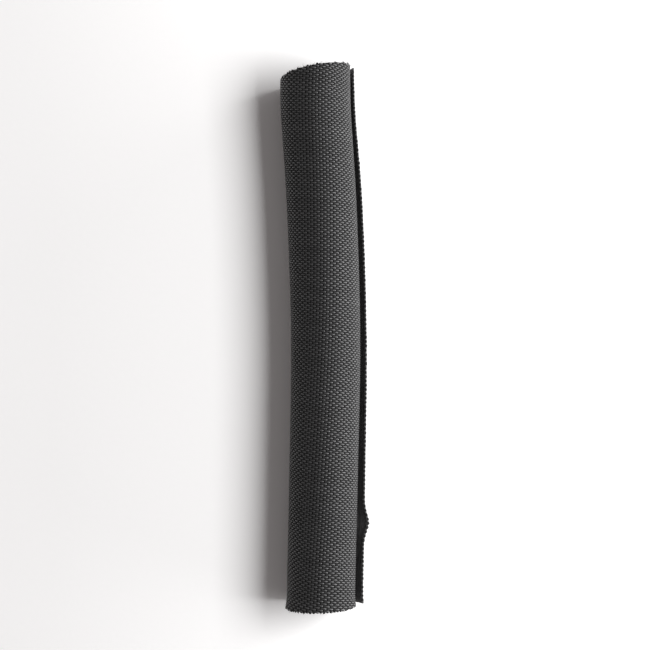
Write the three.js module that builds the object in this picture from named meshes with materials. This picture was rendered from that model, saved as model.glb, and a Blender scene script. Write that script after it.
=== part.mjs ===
// Self-wrapping cable sleeve: one woven sheet curled into a split tube, its long edges overlapping.
// Millimetres. +Y runs along the sleeve, +X is its right side and +Z is up. The origin is the middle
// of the flat strip that the sleeve rests on.

import * as THREE from 'three';

// The tube.
const LENGTH = 200;
const RADIUS_BOTTOM_END = 13.5;
const RADIUS_TOP_END = 13.9;
const WALL = 1.0;

// Arcs are in degrees round the tube, counted from the free outer edge. The flap rises that far
// from the flat spot's middle, and the sheet goes on past a full turn by the overlap.
const FLAT_SPOT_ARC = 23;
const FLAP_RISE = 76;
const OVERLAP = 90;
const LAYER_GAP = 0.4;
const TUCK_END = 400;

// How far the free outer edge stands off, at even stations from the bottom end to the top end.
const FLAP_LIFT = [2.3, 2.1, 1.75, 1.6, 0.8];
const CRIMP_PLACE = -68.5;
const CRIMP_LIFT = 1.75;
const CRIMP_LENGTH = 9;

// The sleeve lies in a shallow curve: sideways offsets of its centre line, at even stations.
const BOW = [-1.75, -0.75, 0, -1.55, -4.5];

// The two cut ends. Skew turns the cut about the vertical and lean tips it about the width.
const TOP_CUT_SKEW = 10.5;
const TOP_CUT_LEAN = 6.2;
const BOTTOM_CUT_SKEW = 2;
const BOTTOM_CUT_LEAN = -1.5;
const CUT_REACH = 30;
const BOTTOM_FLARE = 0.6;
const BOTTOM_FLARE_REACH = 6;
const TOP_TUCK = 0.6;
const TOP_TUCK_REACH = 12;

// The plain weave. Each raised crossing stands for two picks by two warp ends.
const PICK_PITCH = 0.8;
const WARP_PITCH = 1.29;
const YARNS_PER_BUMP = 2;
const WEAVE_DEPTH = 0.32;
const PLAIN_ROW_LENGTH = 16;
const PLAIN_ROW_GAP = 2;

const WEAVE_COLOUR = 0x3b3b3e;
const WEAVE_ROUGHNESS = 0.62;

const RADIANS = Math.PI / 180;
const FULL_TURN = 360;
const FLAT_START = FLAP_RISE - FLAT_SPOT_ARC / 2;
const FLAT_END = FLAP_RISE + FLAT_SPOT_ARC / 2;
const ROUNDING = 1e-6;
const MID_RADIUS = (RADIUS_BOTTOM_END + RADIUS_TOP_END) / 2;
const TUCK = WALL + LAYER_GAP;

// A smooth curve through values at even stations, for a share of the way from 0 to 1.
function curveThrough(values, share) {
  const spans = values.length - 1;
  const place = THREE.MathUtils.clamp(share, 0, 1) * spans;
  const k = Math.min(Math.floor(place), spans - 1);
  const u = place - k;
  const before = values[Math.max(k - 1, 0)];
  const after = values[Math.min(k + 2, spans)];
  const slopeHere = (values[k + 1] - before) / 2;
  const slopeNext = (after - values[k]) / 2;
  const rise = values[k + 1] - values[k];
  const bend = 3 * rise - 2 * slopeHere - slopeNext;
  const twist = slopeHere + slopeNext - 2 * rise;
  return values[k] + u * (slopeHere + u * (bend + u * twist));
}

// One at an end of the sleeve, falling to nothing at the given distance from it.
function nearEnd(y, end, reach) {
  const left = 1 - Math.abs(end - y) / reach;
  return left > 0 ? left * left : 0;
}

// The outer radius at a place along the sleeve.
function tubeRadius(y) {
  const share = y / LENGTH + 0.5;
  const taper = RADIUS_BOTTOM_END + (RADIUS_TOP_END - RADIUS_BOTTOM_END) * share;
  const flare = BOTTOM_FLARE * nearEnd(y, -LENGTH / 2, BOTTOM_FLARE_REACH);
  return taper + flare - TOP_TUCK * nearEnd(y, LENGTH / 2, TOP_TUCK_REACH);
}

// How far the outer layer stands off the round at an arc from the free edge.
function flapLift(arc, y) {
  const left = 1 - arc / FLAT_START;
  if (left <= 0) return 0;
  const crimp = Math.exp(-(((y - CRIMP_PLACE) / (CRIMP_LENGTH / 2)) ** 2));
  const atEdge = curveThrough(FLAP_LIFT, y / LENGTH + 0.5) + CRIMP_LIFT * crimp * left;
  return atEdge * left * left;
}

// How far the sheet has moved in towards the tube's axis, so that it passes under its own edge.
function tuckIn(arc) {
  return TUCK * THREE.MathUtils.smoothstep(arc, FLAT_END, TUCK_END);
}

// How much further than its crown a slanted cut reaches at a point of the section.
function cutOffset(x, belowCrown, skew, lean) {
  return x * Math.tan(skew * RADIANS) - belowCrown * Math.tan(lean * RADIANS);
}

// A point of the sheet: arc is round the tube, y along it, depth inwards from the outer face.
function sheetPoint(arc, y, depth) {
  const outer = tubeRadius(y);
  const radius = outer + flapLift(arc, y) - tuckIn(arc) - depth;
  const turned = FLAP_RISE - arc + (arc > FLAP_RISE + FULL_TURN / 2 ? FULL_TURN : 0);
  const pressed = Math.abs(turned) < FLAT_SPOT_ARC / 2;
  const flatHeight = Math.cos((FLAT_SPOT_ARC / 2) * RADIANS);
  const squash = pressed ? flatHeight / Math.cos(turned * RADIANS) : 1;
  const x = radius * squash * Math.sin(turned * RADIANS);
  const z = -radius * squash * Math.cos(turned * RADIANS);
  const atTop = cutOffset(x, outer - z, TOP_CUT_SKEW, TOP_CUT_LEAN);
  const atBottom = cutOffset(x, outer - z, BOTTOM_CUT_SKEW, BOTTOM_CUT_LEAN);
  const slantTop = atTop * nearEnd(y, LENGTH / 2, CUT_REACH);
  const slantBottom = atBottom * nearEnd(y, -LENGTH / 2, CUT_REACH);
  const sideways = curveThrough(BOW, y / LENGTH + 0.5);
  return new THREE.Vector3(x + sideways, y + slantTop + slantBottom, z + outer * flatHeight);
}

// Even steps from one arc to another, without the first.
function steps(from, to, size) {
  const count = Math.max(1, Math.round((to - from) / size));
  return Array.from({ length: count }, (_, k) => from + ((to - from) * (k + 1)) / count);
}

// The columns: arcs of the sheet's lines along the sleeve, those of the woven face in view first.
function columnArcs() {
  const size = (YARNS_PER_BUMP * WARP_PITCH) / MID_RADIUS / RADIANS;
  const inView = [0, ...steps(0, FLAT_START, size), FLAP_RISE, FLAT_END];
  inView.push(...steps(FLAT_END, FULL_TURN, size));
  const covered = steps(FULL_TURN, FULL_TURN + OVERLAP, size);
  return { all: [...inView, ...covered], inView: inView.length };
}

// Places of the rows along the sleeve, from the bottom end to the top end.
function rowPlaces(size) {
  return [-LENGTH / 2, ...steps(-LENGTH / 2, LENGTH / 2, size)];
}

// The rows of the plain faces: even ones, and closer ones where the ends and the crimp change shape.
function plainRowPlaces() {
  const closer = [LENGTH / 2 - TOP_TUCK_REACH, LENGTH / 2 - TOP_TUCK_REACH / 2];
  closer.push(BOTTOM_FLARE_REACH - LENGTH / 2, BOTTOM_FLARE_REACH / 2 - LENGTH / 2);
  closer.push(...[-1, -0.5, 0, 0.5, 1].map((share) => CRIMP_PLACE + share * CRIMP_LENGTH));
  const clear = (y) => closer.every((place) => Math.abs(place - y) > PLAIN_ROW_GAP);
  const even = rowPlaces(PLAIN_ROW_LENGTH);
  const kept = even.filter((y, k) => k === 0 || k === even.length - 1 || clear(y));
  const inside = closer.filter((y) => Math.abs(y) < LENGTH / 2);
  return [...kept, ...inside].sort((a, b) => a - b);
}

// How deep the weave dips at a crossing: raised and sunken ones alternate like a chessboard.
function weaveDip(column, row, arc, lastColumn) {
  const pressed = Math.abs(arc - FLAP_RISE) < FLAT_SPOT_ARC / 2 + ROUNDING;
  const inside = column > 0 && column < lastColumn;
  return inside && !pressed && (column + row) % 2 ? WEAVE_DEPTH : 0;
}

// The points and triangles of one closed solid.
class Solid {
  constructor() {
    this.points = [];
    this.corners = [];
  }

  addPoint(point) {
    this.points.push(point.x, point.y, point.z);
    return this.points.length / 3 - 1;
  }

  // A grid of points as lists of columns, each from the bottom end to the top end.
  addFace(arcs, rows, depthAt) {
    const pointAt = (arc, i) => (y, j) => this.addPoint(sheetPoint(arc, y, depthAt(i, j, arc)));
    return arcs.map((arc, i) => rows.map(pointAt(arc, i)));
  }

  // Triangles between two columns with as many points. Flip turns them to face the other way, and
  // crossAt says where a square is split along its other diagonal.
  fillEven(left, right, flip, crossAt) {
    for (let j = 0; j < left.length - 1; j += 1) {
      const square = [left[j], right[j], right[j + 1], left[j + 1]];
      const [a, b, c, d] = crossAt(j) ? [square[1], square[2], square[3], square[0]] : square;
      this.addTriangle(a, b, c, flip);
      this.addTriangle(a, c, d, flip);
    }
  }

  // Triangles between two columns on rows of their own that run between the same two ends.
  fillUneven(left, leftRows, right, rightRows, flip) {
    let i = 0;
    let j = 0;
    while (i < left.length - 1 || j < right.length - 1) {
      const rightDone = j === right.length - 1;
      const leftFirst = rightDone || (i < left.length - 1 && leftRows[i + 1] <= rightRows[j + 1]);
      const next = leftFirst ? left[i + 1] : right[j + 1];
      this.addTriangle(left[i], right[j], next, flip);
      i += leftFirst ? 1 : 0;
      j += leftFirst ? 0 : 1;
    }
  }

  addTriangle(a, b, c, flip) {
    this.corners.push(a, flip ? c : b, flip ? b : c);
  }

  toGeometry() {
    const geometry = new THREE.BufferGeometry();
    geometry.setAttribute('position', new THREE.Float32BufferAttribute(this.points, 3));
    geometry.setIndex(this.corners);
    geometry.computeVertexNormals();
    return geometry;
  }
}

// The whole sheet: its woven outer face, the plain stretch under the overlap, the plain inner face,
// the two long edges and the two cut ends.
function sleeveGeometry() {
  const solid = new Solid();
  const { all, inView } = columnArcs();
  const fineRows = rowPlaces(YARNS_PER_BUMP * PICK_PITCH);
  const plainRows = plainRowPlaces();
  const last = inView - 1;
  const never = () => false;

  const dipAt = (i, j, arc) => weaveDip(i, j, arc, last);
  const woven = solid.addFace(all.slice(0, inView), fineRows, dipAt);
  const covered = solid.addFace(all.slice(inView), plainRows, () => 0);
  const inner = solid.addFace(all, plainRows, () => WALL);

  for (let i = 0; i < last; i += 1) {
    solid.fillEven(woven[i], woven[i + 1], false, (j) => (i + j) % 2 === 0);
  }
  solid.fillUneven(woven[last], fineRows, covered[0], plainRows, false);
  for (let i = 0; i < covered.length - 1; i += 1) {
    solid.fillEven(covered[i], covered[i + 1], false, never);
  }
  for (let i = 0; i < inner.length - 1; i += 1) {
    solid.fillEven(inner[i], inner[i + 1], true, never);
  }

  solid.fillUneven(inner[0], plainRows, woven[0], fineRows, false);
  solid.fillEven(covered[covered.length - 1], inner[inner.length - 1], false, never);

  const outer = [...woven, ...covered];
  const outerBottom = outer.map((column) => column[0]);
  const outerTop = outer.map((column) => column[column.length - 1]);
  const innerBottom = inner.map((column) => column[0]);
  const innerTop = inner.map((column) => column[column.length - 1]);
  solid.fillEven(outerBottom, innerBottom, false, never);
  solid.fillEven(innerTop, outerTop, false, never);
  return solid.toGeometry();
}

function wovenMaterial() {
  return new THREE.MeshStandardMaterial({
    color: WEAVE_COLOUR,
    roughness: WEAVE_ROUGHNESS,
    metalness: 0,
    flatShading: true,
  });
}

const group = new THREE.Group();
const sleeve = new THREE.Mesh(sleeveGeometry(), wovenMaterial());
sleeve.name = 'woven_sleeve';
group.add(sleeve);

export default group;
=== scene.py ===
"""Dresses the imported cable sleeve: its plain weave is built yarn by yarn round the curled sheet."""

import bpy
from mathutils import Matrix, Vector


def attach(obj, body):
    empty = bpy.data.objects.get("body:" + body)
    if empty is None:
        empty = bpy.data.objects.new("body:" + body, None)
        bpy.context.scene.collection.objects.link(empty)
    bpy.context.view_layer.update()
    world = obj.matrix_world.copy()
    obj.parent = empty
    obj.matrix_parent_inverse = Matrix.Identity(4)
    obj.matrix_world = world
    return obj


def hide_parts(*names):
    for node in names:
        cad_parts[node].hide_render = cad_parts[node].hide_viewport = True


bl_info = {
    "name": "Self-wrapping cable sleeve",
    "version": (1, 0, 0),
    "blender": (4, 5, 0),
    "location": "3D View > Sidebar > Sleeve",
    "description": "Weaves the cloth of a self-wrapping cable sleeve and sets its stage",
    "category": "Add Mesh",
}

import math

import bpy
import numpy as np
from bpy.props import FloatProperty, FloatVectorProperty, PointerProperty

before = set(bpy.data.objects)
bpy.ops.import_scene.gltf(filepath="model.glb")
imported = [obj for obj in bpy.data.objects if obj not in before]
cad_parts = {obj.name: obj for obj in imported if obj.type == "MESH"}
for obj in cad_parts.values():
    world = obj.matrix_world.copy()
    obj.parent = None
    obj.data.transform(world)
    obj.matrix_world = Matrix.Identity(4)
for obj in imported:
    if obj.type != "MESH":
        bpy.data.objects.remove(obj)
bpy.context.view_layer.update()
NODE = "woven_sleeve"
MM = 0.001

# The curled sheet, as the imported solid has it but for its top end, which is tucked in less and
# lies a little to the right. Millimetres, and arcs in degrees round the tube, counted from the
# free outer edge.
LENGTH = 200.0
RADIUS_BOTTOM_END = 13.5
RADIUS_TOP_END = 13.9
MID_RADIUS = (RADIUS_BOTTOM_END + RADIUS_TOP_END) / 2
WALL = 1.0
FLAT_SPOT_ARC = 23.0
FLAP_RISE = 76.0
FULL_TURN = 360.0
LAST_ARC = 450.0
CROWN_ARC = FLAP_RISE + 180.0
TUCK = WALL + 0.4
TUCK_START = FLAP_RISE + FLAT_SPOT_ARC / 2
TUCK_END = 400.0
FLAP_END = FLAP_RISE - FLAT_SPOT_ARC / 2
FLAP_LIFT = (2.3, 2.1, 1.75, 1.6, 0.8)
CRIMP_PLACE = -68.5
CRIMP_LIFT = 1.75
CRIMP_LENGTH = 9.0
BOW = (-1.75, -0.75, 0.0, -1.55, -4.5)
TOP_CUT = (math.tan(math.radians(10.5)), math.tan(math.radians(6.2)))
BOTTOM_CUT = (math.tan(math.radians(2.0)), math.tan(math.radians(-1.5)))
BOTTOM_FLARE = 0.6
BOTTOM_FLARE_REACH = 6.0
TOP_TUCK = 0.2
TOP_TUCK_REACH = 12.0
TOP_SHIFT = 0.75
TOP_SHIFT_REACH = 22.0
MM_PER_DEGREE = math.radians(MID_RADIUS)

# How the cloth lies on the tube: its picks run slantwise, and its ends drift round it.
PICK_SKEW = -0.1
END_DRIFT = 0.045

# Where the yarns run.
PICK_PITCH = 0.8
END_PITCH = 1.29
BAND_WIDTH = 6.0
BAND_PITCH = 0.6
SPARE_REACH = 12
COVERED_ARC = 374.0
CUT_PASSES = 6
SEED = 11

# How the yarns wander from their even places.
END_WANDER = 0.15
PICK_WANDER = 0.02
WAVE_HEIGHT = 0.05
WAVE_LENGTHS = (9.1, 5.3, 3.1)
WAVE_TURNS = (31.0, 17.0, -23.0)


def curve_through(values, share):
    """A smooth curve through values at even stations, for shares of the way from 0 to 1."""
    values = np.asarray(values, float)
    spans = len(values) - 1
    place = np.clip(share, 0, 1) * spans
    k = np.minimum(place.astype(int), spans - 1)
    u = place - k
    slope_here = (values[k + 1] - values[np.maximum(k - 1, 0)]) / 2
    slope_next = (values[np.minimum(k + 2, spans)] - values[k]) / 2
    rise = values[k + 1] - values[k]
    bend = 3 * rise - 2 * slope_here - slope_next
    twist = slope_here + slope_next - 2 * rise
    return values[k] + u * (slope_here + u * (bend + u * twist))


def smooth_step(x, start, end):
    """Rises from 0 at the start to 1 at the end, level at both."""
    t = np.clip((x - start) / (end - start), 0, 1)
    return t * t * (3 - 2 * t)


def near_top(y, reach):
    """1 at the top end, falling to 0 at this reach from it."""
    return np.clip(1 - (LENGTH / 2 - y) / reach, 0, 1) ** 2


def near_bottom(y, reach):
    """1 at the bottom end, falling to 0 at this reach from it."""
    return np.clip(1 - (y + LENGTH / 2) / reach, 0, 1) ** 2


def tube_radius(y):
    """The outer radius at places along the sleeve."""
    taper = RADIUS_BOTTOM_END + (RADIUS_TOP_END - RADIUS_BOTTOM_END) * (y / LENGTH + 0.5)
    flare = BOTTOM_FLARE * near_bottom(y, BOTTOM_FLARE_REACH)
    return taper + flare - TOP_TUCK * near_top(y, TOP_TUCK_REACH)


def flap_lift(arc, y):
    """How far the outer layer stands off the round."""
    left = np.clip(1 - arc / FLAP_END, 0, None)
    crimp = np.exp(-(((y - CRIMP_PLACE) / (CRIMP_LENGTH / 2)) ** 2))
    at_edge = curve_through(FLAP_LIFT, y / LENGTH + 0.5) + CRIMP_LIFT * crimp * np.minimum(left, 1)
    return at_edge * left * left


def sideways(y):
    """How far the sleeve bows to the side at places along it."""
    return curve_through(BOW, y / LENGTH + 0.5) + TOP_SHIFT * near_top(y, TOP_SHIFT_REACH)


class Cloth:
    """The curled cloth. Places on it are given flat: arc round it, along it, and height over the
    middle of its thickness, which is positive outwards."""

    def __init__(self):
        self.rng = np.random.default_rng(SEED)
        rng = self.rng
        first = BAND_WIDTH / MM_PER_DEGREE + 0.5 * END_PITCH / MM_PER_DEGREE
        count = round((LAST_ARC - 2 * first) * MM_PER_DEGREE / END_PITCH)
        self.end_step = (LAST_ARC - 2 * first) / count
        self.end_arcs = first + self.end_step * np.arange(count + 1)
        self.end_arcs += rng.uniform(-END_WANDER, END_WANDER, count + 1)
        reach = LENGTH / 2 + SPARE_REACH
        places = np.arange(-math.ceil(reach / PICK_PITCH), math.ceil(reach / PICK_PITCH) + 1)
        self.pick_numbers = places
        self.pick_places = places * PICK_PITCH
        self.pick_places += rng.uniform(-PICK_WANDER, PICK_WANDER, len(places))
        self.waves = rng.uniform(0, 2 * math.pi, (len(WAVE_LENGTHS), 2))[:, 0]

    def lie(self, arc, along):
        """The arc and the place along the tube that a flat place comes to, before the bow."""
        middle = np.sin(math.pi * np.clip(arc / LAST_ARC, 0, 1))
        wave = sum(
            WAVE_HEIGHT * np.sin(along / length + arc / turn + phase)
            for length, turn, phase in zip(WAVE_LENGTHS, WAVE_TURNS, self.waves)
        )
        drift = END_DRIFT * along * middle / MM_PER_DEGREE
        skew = PICK_SKEW * (arc - CROWN_ARC) * MM_PER_DEGREE
        return arc + drift, along + skew + wave

    def section(self, arc, y, height):
        """x and z of a place of the section at y, from the tube's middle, and that middle's z."""
        outer = tube_radius(y)
        tuck = TUCK * smooth_step(arc, TUCK_START, TUCK_END)
        radius = outer + flap_lift(arc, y) - tuck - WALL / 2 + height
        turned = FLAP_RISE - arc + np.where(arc > CROWN_ARC, FULL_TURN, 0)
        flat = math.cos(math.radians(FLAT_SPOT_ARC / 2))
        pressed = np.abs(turned) < FLAT_SPOT_ARC / 2
        turned = np.radians(turned)
        squash = np.where(pressed, flat / np.cos(turned), 1)
        return radius * squash * np.sin(turned), -radius * squash * np.cos(turned), outer * flat

    def place(self, arc, along, height):
        """Points in millimetres, and how much room each has to the top and to the bottom cut."""
        arc, y = self.lie(arc, along)
        x, z, rest = self.section(arc, y, height)
        slope = (sideways(y + 1) - sideways(y - 1)) / 2
        y = y - slope * x
        points = np.stack([x + sideways(y), y, z + rest], -1)
        top = LENGTH / 2 + x * TOP_CUT[0] - (tube_radius(LENGTH / 2) - z) * TOP_CUT[1]
        bottom = -LENGTH / 2 + x * BOTTOM_CUT[0]
        bottom = bottom - (tube_radius(-LENGTH / 2) - z) * BOTTOM_CUT[1]
        return points, top - y, y - bottom

    def cut_places(self, arcs):
        """Where the two cuts cross lines along the flat cloth."""
        low = np.full(np.shape(arcs), -LENGTH / 2)
        high = -low
        for _ in range(CUT_PASSES):
            low = low - self.place(arcs, low, 0 * low)[2]
            high = high + self.place(arcs, high, 0 * high)[1]
        return low, high


# How a yarn's strip and its two caps lie in a row of the bake's map.
STRIP_START = 0.01
STRIP_LENGTH = 0.96
STRIP_MARGIN = 0.08
STRIP_HEIGHT = 0.84
CAP_MIDDLES = (0.004, 0.992)
CAP_HALF_LENGTH = 0.003
CAP_HALF_HEIGHT = 0.4


class YarnMesh:
    """Collects closed tubes, with a strip of the bake's map for each, and makes one mesh."""

    def __init__(self, cloth, rows, sides, fold=1):
        self.cloth = cloth
        self.rows = rows * fold
        self.fold = fold
        self.sides = sides
        self.points, self.tones = [], []
        self.quads, self.quad_maps = [], []
        self.caps, self.cap_maps = [], []
        self.count = 0
        self.row = 0

    def add(self, arc, along, height, wide, thick, tone, spin=0.0):
        """Adds a tube that follows flat places, with its half width and half thickness at each."""
        sides = self.sides
        path = np.stack([arc * MM_PER_DEGREE, along], -1)
        ahead = np.gradient(path, axis=0)
        ahead /= np.linalg.norm(ahead, axis=1, keepdims=True) + 1e-12
        turn = math.radians(90 + spin) + 2 * math.pi * np.arange(sides) / sides
        across = np.multiply.outer(wide * np.ones(len(arc)), np.cos(turn))
        up = np.multiply.outer(thick * np.ones(len(arc)), np.sin(turn))
        arcs = arc[:, None] - across * ahead[:, 1:] / MM_PER_DEGREE
        alongs = along[:, None] + across * ahead[:, :1]
        points = self.cloth.place(arcs, alongs, height[:, None] + up)[0]
        self.add_rings(points * MM, tone)

    def add_rings(self, rings, tone):
        """Adds a tube from its rings of points, and closes both of its ends."""
        stations, sides = rings.shape[:2]
        at = self.count + np.arange(stations * sides).reshape(stations, sides)
        following = np.roll(at, -1, axis=1)
        quads = np.stack([at[:-1], following[:-1], following[1:], at[1:]], -1)
        self.points.append(rings.reshape(-1, 3))
        self.tones.append(np.full(stations * sides, tone))
        self.quads.append(quads.reshape(-1, 4))
        self.caps += [at[0, ::-1], at[-1]]
        self.count += stations * sides
        self.lay_map(stations)

    def lay_map(self, stations):
        """The tube's place on the map: one strip for each fold of its length."""
        sides = self.sides
        share = np.linspace(0, self.fold, stations)
        fold = np.minimum(share[:-1].astype(int), self.fold - 1)
        start = STRIP_START + STRIP_LENGTH * (share[:-1] - fold)
        end = STRIP_START + STRIP_LENGTH * (share[1:] - fold)
        row = (self.row + fold)[:, None]
        side = np.arange(sides)[None, :]
        low = (row + STRIP_MARGIN + STRIP_HEIGHT * side / sides) / self.rows
        high = (row + STRIP_MARGIN + STRIP_HEIGHT * (side + 1) / sides) / self.rows
        start, end = np.broadcast_arrays(start[:, None], end[:, None])
        start = np.broadcast_to(start, low.shape)
        end = np.broadcast_to(end, low.shape)
        corners = [(start, low), (start, high), (end, high), (end, low)]
        self.quad_maps.append(np.stack([np.stack(c, -1) for c in corners], 2).reshape(-1, 4, 2))
        turn = 2 * math.pi * np.arange(sides) / sides
        for middle, row in zip(CAP_MIDDLES, (self.row, self.row + self.fold - 1)):
            u = middle + CAP_HALF_LENGTH * np.cos(turn)
            v = (row + 0.5 + CAP_HALF_HEIGHT * np.sin(turn)) / self.rows
            self.cap_maps.append(np.stack([u, v], -1))
        self.row += self.fold

    def make(self, name, material):
        """Makes the object, at the origin, with its map and the tone of each yarn."""
        points = np.concatenate(self.points)
        quads = np.concatenate(self.quads)
        caps = np.array(self.caps)
        corners = np.concatenate([quads.ravel(), caps.ravel()])
        sizes = np.concatenate([np.full(len(quads), 4), np.full(len(caps), self.sides)])
        maps = np.concatenate(
            [np.concatenate(self.quad_maps).reshape(-1, 2), np.array(self.cap_maps).reshape(-1, 2)]
        )
        return make_mesh(name, points, corners, sizes, maps, np.concatenate(self.tones), material)


def make_mesh(name, points, corners, sizes, maps, tones, material):
    """A mesh object from its points, and from the corners and sizes of its faces."""
    mesh = bpy.data.meshes.new(name)
    mesh.vertices.add(len(points))
    mesh.vertices.foreach_set("co", points.astype(np.float32).ravel())
    mesh.loops.add(len(corners))
    mesh.loops.foreach_set("vertex_index", corners.astype(np.int32))
    mesh.polygons.add(len(sizes))
    starts = np.concatenate([[0], np.cumsum(sizes)[:-1]])
    mesh.polygons.foreach_set("loop_start", starts.astype(np.int32))
    mesh.polygons.foreach_set("use_smooth", np.ones(len(sizes), bool))
    mesh.uv_layers.new(name="OFBake").data.foreach_set("uv", maps.astype(np.float32).ravel())
    tone = mesh.attributes.new("yarn_tone", "FLOAT", "POINT")
    tone.data.foreach_set("value", tones.astype(np.float32))
    mesh.update(calc_edges=True)
    mesh.validate()
    mesh.materials.append(material)
    piece = bpy.data.objects.new(name, mesh)
    bpy.context.scene.collection.objects.link(piece)
    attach(piece, "root")
    return piece


# The yarns' finish: noise scales for each metre, and how far each noise changes it.
NOISE_RANGE = (0.3, 0.7)
PATCH_SCALE = 260.0
PATCH_DETAIL = 3.0
FIBRE_DETAIL = 2.0
YARN_SHADES = (0.85, 1.18)
FIBRE_SHADES = (0.85, 1.12)
ROUGHNESS_CHANGE = 0.06
FIBRE_RELIEF = 0.6


class Nodes:
    """Adds nodes to a material's tree and links them."""

    def __init__(self, material):
        material.use_nodes = True
        self.tree = material.node_tree
        self.shader = self.tree.nodes["Principled BSDF"]

    def add(self, kind, inputs=(), **settings):
        node = self.tree.nodes.new(kind)
        for name, value in settings.items():
            setattr(node, name, value)
        for name, value in dict(inputs).items():
            if isinstance(value, bpy.types.NodeSocket):
                self.tree.links.new(value, node.inputs[name])
            else:
                node.inputs[name].default_value = value
        return node

    def noise(self, scale, detail, stretch=(1, 1, 1)):
        """Noise on Object coordinates, with its scale for each metre along each axis."""
        place = self.add("ShaderNodeTexCoord").outputs["Object"]
        mapping = self.add("ShaderNodeMapping", {"Vector": place, "Scale": stretch})
        inputs = {"Vector": mapping.outputs["Vector"], "Scale": scale, "Detail": detail}
        return self.add("ShaderNodeTexNoise", inputs).outputs["Fac"]

    def shades(self, factor, dark, light):
        """Runs from a dark colour to a light one over the middle range of a noise."""
        ramp = self.add("ShaderNodeValToRGB", {"Fac": factor})
        for element, position, colour in zip(
            ramp.color_ramp.elements, NOISE_RANGE, (dark, light)
        ):
            element.position = position
            element.color = (*colour, 1)
        return ramp.outputs["Color"]


def scaled(colour, factor):
    return tuple(channel * factor for channel in colour)


def yarn_material(name, colour, roughness, fibre_size, fibre_stretch, fibre_depth, ior):
    """A yarn's finish: its tone changes from yarn to yarn and along it, and its fibres show."""
    material = bpy.data.materials.new(name)
    nodes = Nodes(material)
    shader = nodes.shader
    tone = nodes.add("ShaderNodeAttribute", attribute_name="yarn_tone").outputs["Fac"]
    patches = nodes.noise(PATCH_SCALE, PATCH_DETAIL)
    fibres = nodes.noise(1 / fibre_size, FIBRE_DETAIL, fibre_stretch)
    both = nodes.add("ShaderNodeMath", {0: tone, 1: patches}, operation="ADD").outputs[0]
    half = nodes.add("ShaderNodeMath", {0: both, 1: 0.5}, operation="MULTIPLY").outputs[0]
    shade = nodes.shades(half, *(scaled(colour, factor) for factor in YARN_SHADES))
    streak = nodes.shades(fibres, *((level, level, level) for level in FIBRE_SHADES))
    mixed = nodes.add(
        "ShaderNodeMix", data_type="RGBA", blend_type="MULTIPLY", clamp_result=False
    )
    mixed.inputs[0].default_value = 1.0
    nodes.tree.links.new(shade, mixed.inputs[6])
    nodes.tree.links.new(streak, mixed.inputs[7])
    nodes.tree.links.new(mixed.outputs[2], shader.inputs["Base Color"])
    rough = nodes.add(
        "ShaderNodeMapRange",
        {"Value": patches, "From Min": NOISE_RANGE[0], "From Max": NOISE_RANGE[1]},
    )
    rough.inputs["To Min"].default_value = roughness - ROUGHNESS_CHANGE
    rough.inputs["To Max"].default_value = roughness + ROUGHNESS_CHANGE
    nodes.tree.links.new(rough.outputs["Result"], shader.inputs["Roughness"])
    bump = nodes.add(
        "ShaderNodeBump", {"Height": fibres, "Strength": FIBRE_RELIEF, "Distance": fibre_depth}
    )
    nodes.tree.links.new(bump.outputs["Normal"], shader.inputs["Normal"])
    shader.inputs["IOR"].default_value = ior
    return material


class SleeveSizes(bpy.types.PropertyGroup):
    """Sizes of the yarns."""

    pick_width: FloatProperty(
        name="Pick width",
        description="Width of a pick, the stiff yarn that goes round the sleeve",
        default=0.68 * MM,
        subtype="DISTANCE",
        unit="LENGTH",
        precision=5,
    )
    pick_thickness: FloatProperty(
        name="Pick thickness",
        description="Thickness of a pick through the cloth",
        default=0.42 * MM,
        subtype="DISTANCE",
        unit="LENGTH",
        precision=5,
    )
    pick_crimp: FloatProperty(
        name="Pick crimp",
        description="How far a pick rises and falls from the middle of the cloth",
        default=0.24 * MM,
        subtype="DISTANCE",
        unit="LENGTH",
        precision=5,
    )
    end_width: FloatProperty(
        name="End width",
        description="Width of an end, the softer yarn that runs along the sleeve",
        default=1.12 * MM,
        subtype="DISTANCE",
        unit="LENGTH",
        precision=5,
    )
    end_thickness: FloatProperty(
        name="End thickness",
        description="Thickness of an end through the cloth",
        default=0.4 * MM,
        subtype="DISTANCE",
        unit="LENGTH",
        precision=5,
    )
    end_crimp: FloatProperty(
        name="End crimp",
        description="How far an end rises and falls from the middle of the cloth",
        default=0.2 * MM,
        subtype="DISTANCE",
        unit="LENGTH",
        precision=5,
    )
    loop_reach: FloatProperty(
        name="Loop reach",
        description="How far the pick loops stand out from the long edges",
        default=0.3 * MM,
        subtype="DISTANCE",
        unit="LENGTH",
        precision=5,
    )
    body_thickness: FloatProperty(
        name="Body thickness",
        description="Thickness of the packed middle of the cloth, where its yarns press together",
        default=0.2 * MM,
        subtype="DISTANCE",
        unit="LENGTH",
        precision=5,
    )


class SleeveFinish(bpy.types.PropertyGroup):
    """Colours and gloss of the yarns."""

    pick_colour: FloatVectorProperty(
        name="Pick colour",
        description="Colour of the stiff yarn that goes round the sleeve",
        default=(0.056, 0.056, 0.0573),
        size=3,
        min=0,
        max=1,
        subtype="COLOR",
    )
    end_colour: FloatVectorProperty(
        name="End colour",
        description="Colour of the softer yarn that runs along the sleeve",
        default=(0.02, 0.02, 0.0204),
        size=3,
        min=0,
        max=1,
        subtype="COLOR",
    )
    # The band is paler than the other yarns partly as its own tone and partly as painted light: the
    # paler colour stands in for light on the shaded inner face of the flap.
    band_colour_and_painted_light: FloatVectorProperty(
        name="Band colour and painted light",
        description="Colour of the smooth band along each long edge",
        default=(0.09, 0.09, 0.0915),
        size=3,
        min=0,
        max=1,
        subtype="COLOR",
    )
    pick_roughness: FloatProperty(
        name="Pick roughness",
        description="Roughness of the stiff yarn",
        default=0.36,
        min=0,
        max=1,
        subtype="FACTOR",
    )
    end_roughness: FloatProperty(
        name="End roughness",
        description="Roughness of the softer yarn",
        default=0.62,
        min=0,
        max=1,
        subtype="FACTOR",
    )


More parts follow.
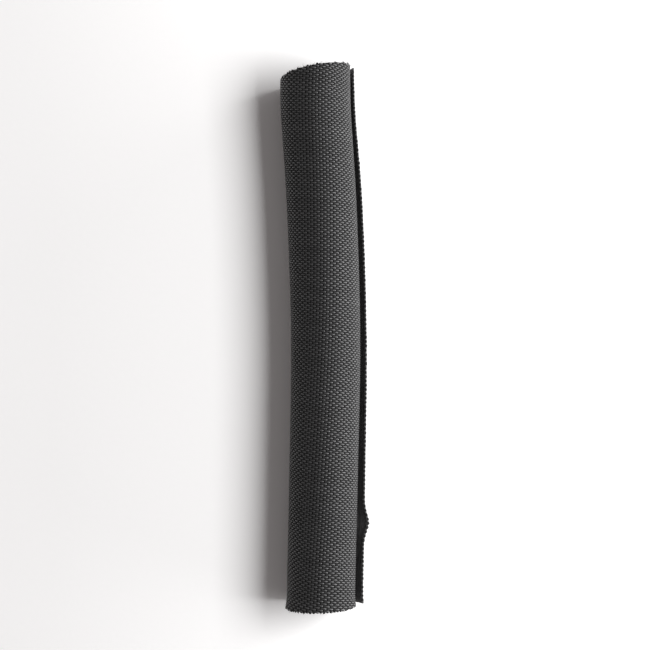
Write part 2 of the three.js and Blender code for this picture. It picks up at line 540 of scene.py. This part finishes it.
def parted(keep):
    """Runs of stations that are kept, as pairs of the first and the last."""
    edges = np.flatnonzero(np.diff(np.concatenate([[0], keep.astype(int), [0]])))
    return list(zip(edges[::2], edges[1::2] - 1))


# A pick floats over an end on a low arch, and stays level where it turns in at the bands.
FLOAT_REACH = 0.5
SHOULDER_RISE = 0.86
TURN_IN = (0.62, 0.86)
RISE_CHANGE = (0.96, 1.04)
STATION_WANDER = 0.012
CUT_MARGIN = 0.55
SHORTEST_RUN = 5
PICK_SIDES = 5
PARTED_PICK_ROWS = 24


class SLEEVE_OT_picks(bpy.types.Operator):
    """Weaves the picks, which go round the sleeve over and under its ends"""

    bl_idname = "sleeve.picks"
    bl_label = "Weave the picks"

    def execute(self, context):
        sizes, finish = context.scene.sleeve_sizes, context.scene.sleeve_finish
        cloth = Cloth()
        material = yarn_material(
            "Stiff pick yarn", finish.pick_colour, finish.pick_roughness,
            fibre_size=0.25 * MM, fibre_stretch=(1, 1, 1), fibre_depth=0.002 * MM, ior=1.58,
        )
        for parity, name in enumerate(("picks_even", "picks_odd")):
            chosen = np.flatnonzero(cloth.pick_numbers % 2 == parity)
            yarns = YarnMesh(cloth, len(chosen) + PARTED_PICK_ROWS, PICK_SIDES)
            stations, rises = self.path(cloth, parity)
            for k in chosen:
                self.add_pick(yarns, cloth, sizes, k, stations, rises)
            yarns.make(name, material)
        return {"FINISHED"}

    def path(self, cloth, parity):
        """Arcs along a pick, with its height there as a share of its crimp: it arches over one
        end and dips under the next."""
        dive = BAND_WIDTH / MM_PER_DEGREE
        stations, rises = [dive * share for share in TURN_IN], [0, 0]
        for i, arc in enumerate(cloth.end_arcs):
            over = (i + parity) % 2 == 0
            if over and arc < COVERED_ARC:
                reach = FLOAT_REACH * cloth.end_step
                stations += [arc - reach, arc, arc + reach]
                rises += [SHOULDER_RISE, 1.0, SHOULDER_RISE]
            else:
                stations.append(arc)
                rises.append(1.0 if over else -1.0)
        stations += [LAST_ARC - dive * share for share in reversed(TURN_IN)]
        return np.array(stations), np.array(rises + [0, 0])

    def add_pick(self, yarns, cloth, sizes, k, stations, rises):
        rng = cloth.rng
        height = rises * sizes.pick_crimp / MM * rng.uniform(*RISE_CHANGE, len(rises))
        along = np.full(len(stations), cloth.pick_places[k])
        along += rng.normal(0, STATION_WANDER, len(stations))
        tone = rng.uniform()
        high, low = cloth.place(stations, along, height)[1:]
        room = np.minimum(high, low)
        for first, last in parted(room > sizes.pick_width / MM * CUT_MARGIN):
            if last - first < SHORTEST_RUN:
                continue
            span = slice(first, last + 1)
            yarns.add(
                stations[span], along[span], height[span],
                sizes.pick_width / MM / 2, sizes.pick_thickness / MM / 2, tone,
            )


# An end crosses over a pick on a short flat, and is cut off within these reaches of the cuts.
OVER_REACH = 0.2
END_CHANGE = (0.9, 1.1)
END_WIDTH_CHANGE = (0.96, 1.04)
LOW_CUT_CHANGE = (-0.12, 0.12)
HIGH_CUT_CHANGE = (-0.5, 0.15)
TIP_REACH = 0.3
TIP_LENGTH = 0.12
TIP_RISE = 0.6
TIP_TAPER = (0.45, 0.85)
END_SIDES = 5
END_FOLDS = 2


class SLEEVE_OT_ends(bpy.types.Operator):
    """Weaves the ends, which run along the sleeve between its two cuts"""

    bl_idname = "sleeve.ends"
    bl_label = "Weave the ends"

    def execute(self, context):
        sizes, finish = context.scene.sleeve_sizes, context.scene.sleeve_finish
        cloth = Cloth()
        material = yarn_material(
            "Soft end yarn", finish.end_colour, finish.end_roughness,
            fibre_size=0.12 * MM, fibre_stretch=(1, 0.12, 1), fibre_depth=0.01 * MM, ior=1.16,
        )
        low, high = cloth.cut_places(cloth.end_arcs)
        for parity, name in enumerate(("ends_even", "ends_odd")):
            chosen = np.arange(parity, len(cloth.end_arcs), 2)
            yarns = YarnMesh(cloth, len(chosen), END_SIDES, fold=END_FOLDS)
            for i in chosen:
                self.add_end(yarns, cloth, sizes, i, low[i], high[i])
            yarns.make(name, material)
        return {"FINISHED"}

    def add_end(self, yarns, cloth, sizes, i, low, high):
        rng = cloth.rng
        places, numbers = cloth.pick_places, cloth.pick_numbers
        sign = np.where((i + numbers) % 2 == 0, -1.0, 1.0)
        crimp = sizes.end_crimp / MM * rng.uniform(*END_CHANGE, len(places))
        low += rng.uniform(*LOW_CUT_CHANGE)
        high += rng.uniform(*HIGH_CUT_CHANGE)
        height = sign * crimp
        over = (sign > 0) & (cloth.end_arcs[i] < COVERED_ARC)
        along = np.concatenate(
            [places[~over], places[over] - OVER_REACH, places[over] + OVER_REACH]
        )
        height = np.concatenate([height[~over], height[over], height[over]])
        order = np.argsort(along)
        along, height = along[order], height[order]
        inside = (along > low + TIP_REACH) & (along < high - TIP_REACH)
        along, height = along[inside], height[inside]
        along = np.concatenate([[low, low + TIP_LENGTH], along, [high - TIP_LENGTH, high]])
        low_tip, high_tip = [height[0] * TIP_RISE] * 2, [height[-1] * TIP_RISE] * 2
        height = np.concatenate([low_tip, height, high_tip])
        taper = np.ones(len(along))
        taper[[0, -1]], taper[[1, -2]] = TIP_TAPER
        arc = np.full(len(along), cloth.end_arcs[i])
        wide = sizes.end_width / MM / 2 * taper * rng.uniform(*END_WIDTH_CHANGE, len(along))
        yarns.add(arc, along, height, wide, sizes.end_thickness / MM / 2 * taper, rng.uniform())


# The bands' yarns, and the pick loops on their rims.
BAND_INSET = 0.35
BAND_SIDES = 6
BAND_LOW_CUT_CHANGE = (-0.06, 0.06)
BAND_HIGH_CUT_CHANGE = (-0.1, 0.06)
BAND_STATIONS = 100
BAND_TIP_REACH = 0.7
BAND_TIP_LENGTH = 0.25
BAND_TIP_TAPER = (0.55, 0.9)
BAND_HEIGHT_WANDER = 0.012
BAND_ARC_WANDER = 0.05
BAND_HALF_WIDTH = 0.36
BAND_HALF_THICKNESS = 0.42
BAND_SPIN = 30.0
LOOP_ROWS = 280
LOOP_SIDES = 6
LOOP_STATIONS = 7
LOOP_CHANGE = (0.8, 1.15)
LOOP_FOOT = 0.22
LOOP_HALF_SPAN = 0.42
LOOP_ROOT = 1.1
LOOP_HEIGHT_WANDER = 0.04
LOOP_CUT_MARGIN = 0.1
LOOP_HALF_WIDTH = 0.24
LOOP_HALF_THICKNESS = 0.26
LOOSE_ROUGHENING = 0.1


class SLEEVE_OT_selvedges(bpy.types.Operator):
    """Makes the smooth bands along the two long edges, and the pick loops on their rims"""

    bl_idname = "sleeve.selvedges"
    bl_label = "Make the selvedges"

    def execute(self, context):
        sizes, finish = context.scene.sleeve_sizes, context.scene.sleeve_finish
        cloth = Cloth()
        # Painted light: the band yarn's paler colour partly stands in for light on the flap's shaded
        # inner face.
        band = yarn_material(
            "Smooth band yarn with painted light", finish.band_colour_and_painted_light, finish.end_roughness,
            fibre_size=0.12 * MM, fibre_stretch=(1, 0.05, 1), fibre_depth=0.01 * MM, ior=1.5,
        )
        count = int(BAND_WIDTH / BAND_PITCH)
        inset = (BAND_INSET + BAND_PITCH * np.arange(count)) / MM_PER_DEGREE
        arcs = np.concatenate([inset, LAST_ARC - inset])
        low, high = cloth.cut_places(arcs)
        yarns = YarnMesh(cloth, len(arcs), BAND_SIDES)
        for arc, start, end in zip(arcs, low, high):
            self.add_band_yarn(yarns, cloth.rng, arc, start, end)
        yarns.make("selvedge_bands", band)
        loops = YarnMesh(cloth, LOOP_ROWS, LOOP_SIDES)
        self.add_loops(loops, cloth, sizes)
        loop = yarn_material(
            "Pick loop yarn", finish.pick_colour, finish.pick_roughness + LOOSE_ROUGHENING,
            fibre_size=0.25 * MM, fibre_stretch=(1, 1, 1), fibre_depth=0.01 * MM, ior=1.6,
        )
        loops.make("selvedge_loops", loop)
        return {"FINISHED"}

    def add_band_yarn(self, yarns, rng, arc, start, end):
        start += rng.uniform(*BAND_LOW_CUT_CHANGE)
        end += rng.uniform(*BAND_HIGH_CUT_CHANGE)
        along = np.linspace(start + BAND_TIP_REACH, end - BAND_TIP_REACH, BAND_STATIONS)
        low_tip, high_tip = [start, start + BAND_TIP_LENGTH], [end - BAND_TIP_LENGTH, end]
        along = np.concatenate([low_tip, along, high_tip])
        taper = np.ones(len(along))
        taper[[0, -1]], taper[[1, -2]] = BAND_TIP_TAPER
        height = rng.normal(0, BAND_HEIGHT_WANDER, len(along))
        arcs = arc + rng.normal(0, BAND_ARC_WANDER, len(along))
        yarns.add(
            arcs, along, height, BAND_HALF_WIDTH * taper, BAND_HALF_THICKNESS * taper,
            rng.uniform(), spin=BAND_SPIN,
        )

    def add_loops(self, loops, cloth, sizes):
        rng = cloth.rng
        reach = sizes.loop_reach / MM
        turn = np.linspace(-math.pi / 2, math.pi / 2, LOOP_STATIONS)
        for inwards, rim in ((1, 0.0), (-1, LAST_ARC)):
            root = rim + inwards * LOOP_ROOT / MM_PER_DEGREE
            for k in range(0, len(cloth.pick_places) - 1, 2):
                middle = (cloth.pick_places[k] + cloth.pick_places[k + 1]) / 2
                size = rng.uniform(*LOOP_CHANGE)
                out = LOOP_FOOT - (reach * size + LOOP_FOOT) * np.cos(turn)
                arc = rim + inwards * out / MM_PER_DEGREE
                along = middle + LOOP_HALF_SPAN * size * np.sin(turn) * inwards
                arc = np.concatenate([[root], arc, [root]])
                along = np.concatenate([[along[0]], along, [along[-1]]])
                height = np.full(len(arc), rng.normal(0, LOOP_HEIGHT_WANDER))
                high, low = cloth.place(arc, along, height)[1:]
                if np.minimum(high, low).min() > LOOP_CUT_MARGIN:
                    loops.add(
                        arc, along, height, LOOP_HALF_WIDTH, LOOP_HALF_THICKNESS, rng.uniform()
                    )


# The loose fibres at the cuts. More of them stand on the upper arcs, which are seen first.
UPPER_ARCS = (170, 350)
TOP_UPPER_FIBRES = 70
TOP_FIBRES = 30
BOTTOM_UPPER_FIBRES = 24
FIBRE_ROWS = 170
FIBRE_SIDES = 4
FIBRE_STATIONS = 6
FIBRE_REACH = (0.15, 0.55)
FIBRE_LEAN = (-2.5, 2.5)
FIBRE_ROOT = 0.7
FIBRE_HEIGHT = (-0.1, 0.35)
FIBRE_RISE = (-0.4, 0.6)
FIBRE_HALF_WIDTH = (0.035, 0.07)
FIBRE_THINNING = 0.4
FIBRE_PALENESS = 1.6


class SLEEVE_OT_cut_fibres(bpy.types.Operator):
    """Adds the loose fibres and loops at the two cut ends"""

    bl_idname = "sleeve.cut_fibres"
    bl_label = "Fray the cut ends"

    def execute(self, context):
        finish = context.scene.sleeve_finish
        cloth = Cloth()
        rng = np.random.default_rng(SEED + 1)
        material = yarn_material(
            "Loose fibres", scaled(finish.pick_colour, FIBRE_PALENESS),
            finish.pick_roughness + LOOSE_ROUGHENING,
            fibre_size=0.25 * MM, fibre_stretch=(1, 1, 1), fibre_depth=0.01 * MM, ior=1.6,
        )
        fibres = YarnMesh(cloth, FIBRE_ROWS, FIBRE_SIDES)
        arcs = np.concatenate(
            [rng.uniform(*UPPER_ARCS, TOP_UPPER_FIBRES), rng.uniform(0, LAST_ARC, TOP_FIBRES)]
        )
        for arc in arcs:
            high = cloth.cut_places(np.array([arc]))[1][0]
            self.add_fibre(fibres, rng, arc, high, 1)
        for arc in rng.uniform(*UPPER_ARCS, BOTTOM_UPPER_FIBRES):
            low = cloth.cut_places(np.array([arc]))[0][0]
            self.add_fibre(fibres, rng, arc, low, -1)
        fibres.make("cut_fibres", material)
        return {"FINISHED"}

    def add_fibre(self, fibres, rng, arc, cut, outwards):
        steps = np.linspace(0, 1, FIBRE_STATIONS)
        reach = rng.uniform(*FIBRE_REACH)
        lean = rng.uniform(*FIBRE_LEAN)
        along = cut + outwards * (-FIBRE_ROOT + (FIBRE_ROOT + reach) * steps)
        arcs = arc + lean * steps**2
        height = rng.uniform(*FIBRE_HEIGHT) * (1 + rng.uniform(*FIBRE_RISE) * steps)
        thin = rng.uniform(*FIBRE_HALF_WIDTH) * (1 - FIBRE_THINNING * steps)
        fibres.add(arcs, along, height, thin, thin, rng.uniform())


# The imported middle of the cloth, and how its two sides and its rim lie on the bake's map.
BODY_COLUMNS = 84
BODY_ROWS = 100
BODY_SIDE_INSET = 0.3
BODY_END_INSET = 0.35
BODY_DARKENING = 0.8
BODY_ROUGHNESS = 0.8
MIDDLE_TONE = 0.5
SIDE_MAP_START = (0.01, 0.02)
SIDE_MAP_SIZE = (0.47, 0.96)
UNDERSIDE_MAP_SHIFT = 0.5
RIM_MAP_ROW = (0.002, 0.014)
RIM_MAP_FILL = 0.9


class SLEEVE_OT_cloth_body(bpy.types.Operator):
    bl_idname = "sleeve.cloth_body"
    bl_label = "Make the cloth's body"

    def execute(self, context):
        sizes, finish = context.scene.sleeve_sizes, context.scene.sleeve_finish
        cloth = Cloth()
        material = yarn_material(
            "Packed yarns", scaled(finish.end_colour, BODY_DARKENING), BODY_ROUGHNESS,
            fibre_size=0.12 * MM, fibre_stretch=(1, 0.3, 1), fibre_depth=0.01 * MM, ior=1.16,
        )
        inset = BODY_SIDE_INSET / MM_PER_DEGREE
        arcs = np.linspace(inset, LAST_ARC - inset, BODY_COLUMNS + 1)
        low, high = cloth.cut_places(arcs)
        share = np.linspace(0, 1, BODY_ROWS + 1)
        length = high - low - 2 * BODY_END_INSET
        along = (low + BODY_END_INSET)[:, None] + length[:, None] * share
        arc = np.repeat(arcs[:, None], BODY_ROWS + 1, 1)
        half = sizes.body_thickness / MM / 2
        outer = cloth.place(arc, along, np.full_like(arc, half))[0]
        inner = cloth.place(arc, along, np.full_like(arc, -half))[0]
        body = self.closed_sheet(outer * MM, inner * MM, arc, share, material)
        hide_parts(NODE)
        return {"FINISHED"}

    def closed_sheet(self, outer, inner, arc, share, material):
        """Joins the outer and the inner side by a rim all round."""
        columns, rows = arc.shape
        at = np.arange(columns * rows).reshape(columns, rows)
        under = at + columns * rows
        faces = [np.stack([at[:-1, :-1], at[1:, :-1], at[1:, 1:], at[:-1, 1:]], -1)]
        faces.append(
            np.stack([under[:-1, :-1], under[:-1, 1:], under[1:, 1:], under[1:, :-1]], -1)
        )
        for here, there in (
            (at[:, 0], under[:, 0]),
            (under[:, -1], at[:, -1]),
            (under[0], at[0]),
            (at[-1], under[-1]),
        ):
            faces.append(np.stack([here[:-1], there[:-1], there[1:], here[1:]], -1))
        quads = np.concatenate([f.reshape(-1, 4) for f in faces])
        points = np.concatenate([outer.reshape(-1, 3), inner.reshape(-1, 3)])
        flat = np.stack([arc / LAST_ARC, np.broadcast_to(share, arc.shape)], -1)
        flat = (np.array(SIDE_MAP_START) + SIDE_MAP_SIZE * flat).reshape(-1, 2)
        flat = np.concatenate([flat, flat + [UNDERSIDE_MAP_SHIFT, 0]])
        maps = flat[quads.ravel()].reshape(-1, 4, 2)
        rims = len(faces[0].reshape(-1, 4)) * 2
        maps[rims:] = self.rim_maps(len(quads) - rims)
        sizes = np.full(len(quads), 4)
        tones = np.full(len(points), MIDDLE_TONE)
        return make_mesh(
            "cloth_body", points, quads.ravel(), sizes, maps.reshape(-1, 2), tones, material
        )

    def rim_maps(self, count):
        """The rim's faces lie in a row of their own along the map's lower side."""
        start = np.arange(count) / count
        end = start + RIM_MAP_FILL / count
        low, high = (np.full(count, side) for side in RIM_MAP_ROW)
        corners = [(start, low), (start, high), (end, high), (end, low)]
        return np.stack([np.stack(c, -1) for c in corners], 1)


# The stage: its lamps are written where they are made. Places and sizes are in metres.
FLOOR_SIZE = 4.0
PAPER_GRAIN_SCALE = 900.0
PAPER_GRAIN_DETAIL = 3.0
PAPER_SEEN_SHADES = (1.08, 1.12)
PAPER_BOUNCE_COLOUR = (0.8, 0.79, 0.785, 1)
FILL_COLOUR = (1.0, 0.93, 0.92, 1)
FILL_STRENGTH = 0.19
CAMERA_PLACE = (-0.76 * MM, 4.75 * MM, 650 * MM)
FOCAL_PIXELS = 1718.9
PHOTO_PIXELS = 650
SENSOR_MM = 36.0


class SLEEVE_OT_stage(bpy.types.Operator):
    """Sets the floor, the lights, the world and the camera"""

    bl_idname = "sleeve.stage"
    bl_label = "Set the stage"

    def execute(self, context):
        bpy.ops.object.select_all(action="DESELECT")
        bpy.ops.mesh.primitive_plane_add(size=FLOOR_SIZE, location=(0, 0, 0))
        floor = context.object
        floor.name = "paper_floor"
        floor.data.materials.append(self.paper())
        self.softbox(
            "Key softbox", place=(0.764, 0.107, 0.919), aim=(0.0, 0.0, 0.0), size=(0.8, 0.62),
            radiance=9.5,
        )
        self.softbox(
            "Strip light", place=(0.17, 0.02, 0.045), aim=(0.0, 0.02, 0.012), size=(0.42, 0.05),
            radiance=8.0,
        )
        self.world(context)
        self.camera(context)
        context.scene.view_settings.view_transform = "Standard"
        return {"FINISHED"}

    def softbox(self, name, place, aim, size, radiance):
        """A rectangular lamp that looks at a point, with its radiance rather than its power."""
        data = bpy.data.lights.new(name, "AREA")
        data.shape = "RECTANGLE"
        data.size, data.size_y = size
        data.energy = radiance * math.pi * size[0] * size[1]
        lamp = bpy.data.objects.new(name, data)
        bpy.context.scene.collection.objects.link(lamp)
        lamp.location = place
        ray = Vector(aim) - Vector(place)
        lamp.rotation_euler = ray.to_track_quat("-Z", "Y").to_euler()
        lamp.visible_camera = False

    def paper(self):
        """White paper, paler to the camera than to the light that it sends back."""
        material = bpy.data.materials.new("White paper")
        nodes = Nodes(material)
        grain = nodes.noise(PAPER_GRAIN_SCALE, PAPER_GRAIN_DETAIL)
        path = nodes.add("ShaderNodeLightPath").outputs
        seen = nodes.add(
            "ShaderNodeMath",
            {0: path["Is Camera Ray"], 1: path["Is Glossy Ray"]},
            operation="MAXIMUM",
        ).outputs[0]
        seen = nodes.add(
            "ShaderNodeMath", {0: seen, 1: path["Is Transmission Ray"]}, operation="MAXIMUM"
        ).outputs[0]
        white = nodes.shades(grain, *((level, level, level) for level in PAPER_SEEN_SHADES))
        mixed = nodes.add("ShaderNodeMix", {0: seen}, data_type="RGBA", clamp_result=False)
        mixed.inputs[6].default_value = PAPER_BOUNCE_COLOUR
        nodes.tree.links.new(white, mixed.inputs[7])
        diffuse = nodes.add("ShaderNodeBsdfDiffuse", {"Color": mixed.outputs[2]})
        out = nodes.tree.nodes["Material Output"]
        nodes.tree.links.new(diffuse.outputs[0], out.inputs["Surface"])
        nodes.tree.nodes.remove(nodes.shader)
        return material

    def world(self, context):
        """A dim even fill, which the camera sees as white."""
        world = bpy.data.worlds.new("Studio")
        context.scene.world = world
        world.use_nodes = True
        tree = world.node_tree
        background = tree.nodes["Background"]
        background.inputs["Color"].default_value = FILL_COLOUR
        path = tree.nodes.new("ShaderNodeLightPath")
        level = tree.nodes.new("ShaderNodeMapRange")
        level.inputs["To Min"].default_value = FILL_STRENGTH
        level.inputs["To Max"].default_value = 1.0
        tree.links.new(path.outputs["Is Camera Ray"], level.inputs["Value"])
        tree.links.new(level.outputs["Result"], background.inputs["Strength"])

    def camera(self, context):
        data = bpy.data.cameras.new("Photo camera")
        data.sensor_width = SENSOR_MM
        data.lens = SENSOR_MM * FOCAL_PIXELS / PHOTO_PIXELS
        camera = bpy.data.objects.new("Photo camera", data)
        context.scene.collection.objects.link(camera)
        camera.location = CAMERA_PLACE
        camera.rotation_euler = (0, 0, 0)
        context.scene.camera = camera


STEPS = (
    SLEEVE_OT_picks,
    SLEEVE_OT_ends,
    SLEEVE_OT_selvedges,
    SLEEVE_OT_cut_fibres,
    SLEEVE_OT_cloth_body,
    SLEEVE_OT_stage,
)


class SLEEVE_PT_panel(bpy.types.Panel):
    """Lists the steps and their sizes"""

    bl_idname = "SLEEVE_PT_panel"
    bl_label = "Cable sleeve"
    bl_space_type = "VIEW_3D"
    bl_region_type = "UI"
    bl_category = "Sleeve"

    def draw(self, context):
        for group in (context.scene.sleeve_sizes, context.scene.sleeve_finish):
            for name in group.bl_rna.properties.keys():
                if name not in ("rna_type", "name"):
                    self.layout.prop(group, name)
        for step in STEPS:
            self.layout.operator(step.bl_idname)


CLASSES = (SleeveSizes, SleeveFinish, *STEPS, SLEEVE_PT_panel)


def register():
    for cls in CLASSES:
        bpy.utils.register_class(cls)
    bpy.types.Scene.sleeve_sizes = PointerProperty(type=SleeveSizes)
    bpy.types.Scene.sleeve_finish = PointerProperty(type=SleeveFinish)


def unregister():
    del bpy.types.Scene.sleeve_finish
    del bpy.types.Scene.sleeve_sizes
    for cls in reversed(CLASSES):
        bpy.utils.unregister_class(cls)


def main():
    register()
    bpy.ops.sleeve.picks()
    bpy.ops.sleeve.ends()
    bpy.ops.sleeve.selvedges()
    bpy.ops.sleeve.cut_fibres()
    bpy.ops.sleeve.cloth_body()
    bpy.ops.sleeve.stage()


if __name__ == "__main__":
    main()
